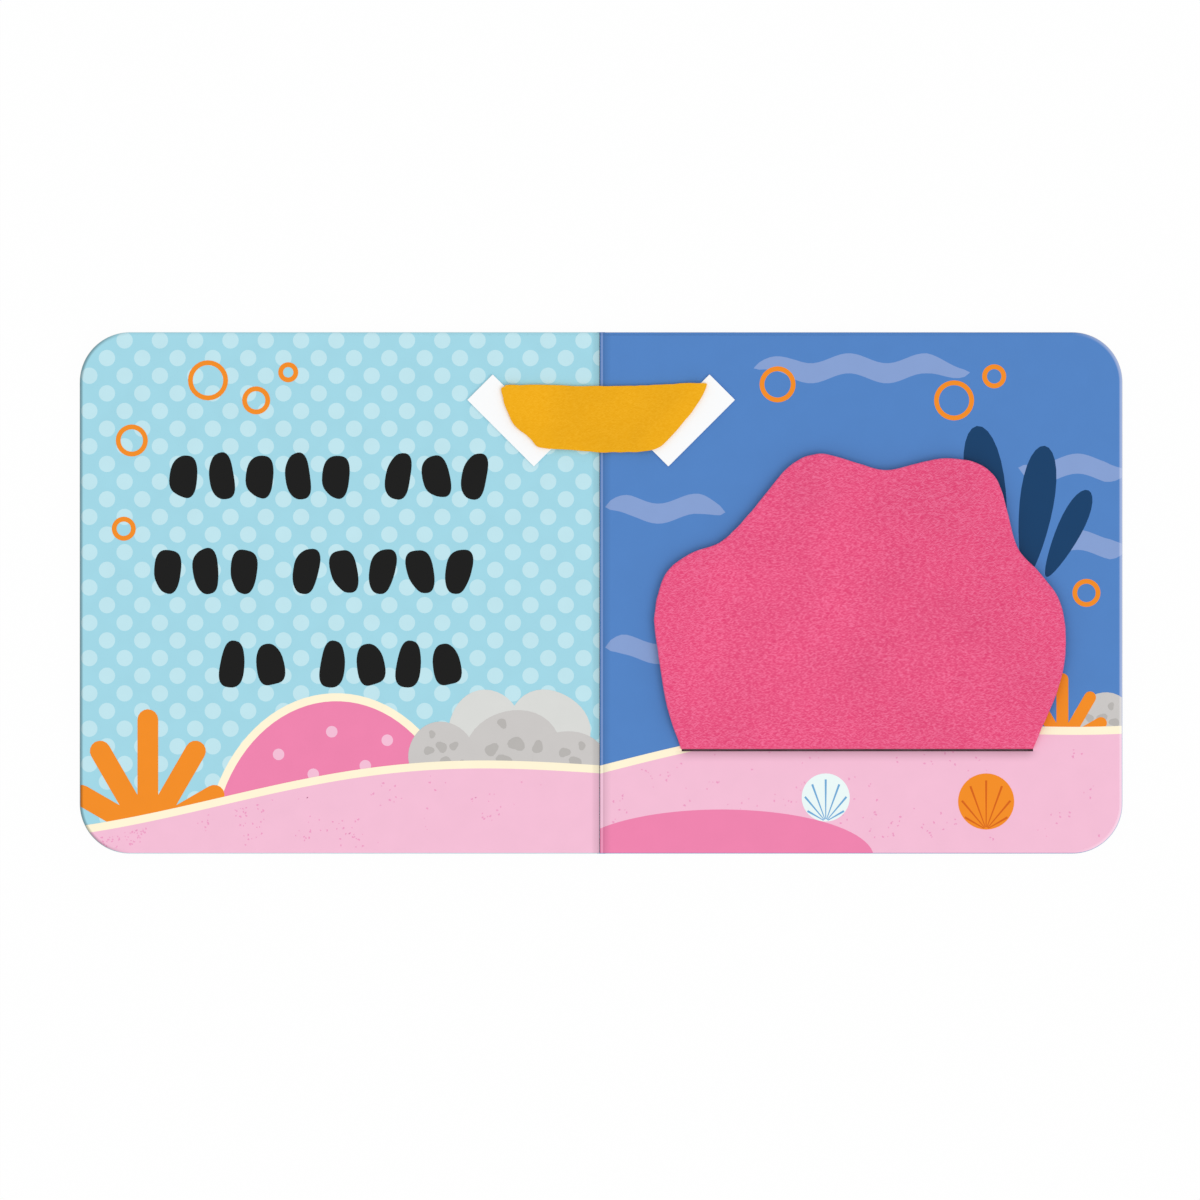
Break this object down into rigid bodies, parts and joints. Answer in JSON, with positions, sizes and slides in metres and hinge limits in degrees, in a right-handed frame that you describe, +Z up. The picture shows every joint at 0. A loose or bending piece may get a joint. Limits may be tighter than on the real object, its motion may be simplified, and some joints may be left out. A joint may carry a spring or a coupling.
{
  "type": "board book",
  "caption": "Small square board book lying open, with a felt flap in a slot of the right page and a felt band across the gutter; its front half folds over at the spine.",
  "frame": {"origin": "on the table, under the middle of the gutter of the open book", "axes": "+X across the pages to the right, +Y up the page, +Z up from the table"},
  "size_m": [0.26, 0.13, 0.0067],
  "materials": {
    "cover_board": "coated satin board, blue",
    "left_page_board": "coated satin board, printed",
    "right_page_board": "coated satin board, printed",
    "spine_paper": "coated paper",
    "pink_felt": "felt",
    "mustard_felt": "felt",
    "white_card": "smooth white card"
  },
  "bodies": {
    "back_half": {"back_cover": "cover_board", "right_leaves": "right_page_board", "felt_flap": "pink_felt", "right_tab": "white_card", "spine_wrap": "spine_paper", "felt_band": "mustard_felt"},
    "front_half": {"front_cover": "cover_board", "left_leaves": "left_page_board", "left_tab": "white_card"}
  },
  "joints": [
    {"name": "cover_fold", "type": "hinge", "parent": "back_half", "child": "front_half", "pos_m": [0, 0, 0.0054], "axis": [0, 1, 0], "range_deg": [0, 165], "deforming": ["spine_wrap", "felt_band"]}
  ]
}
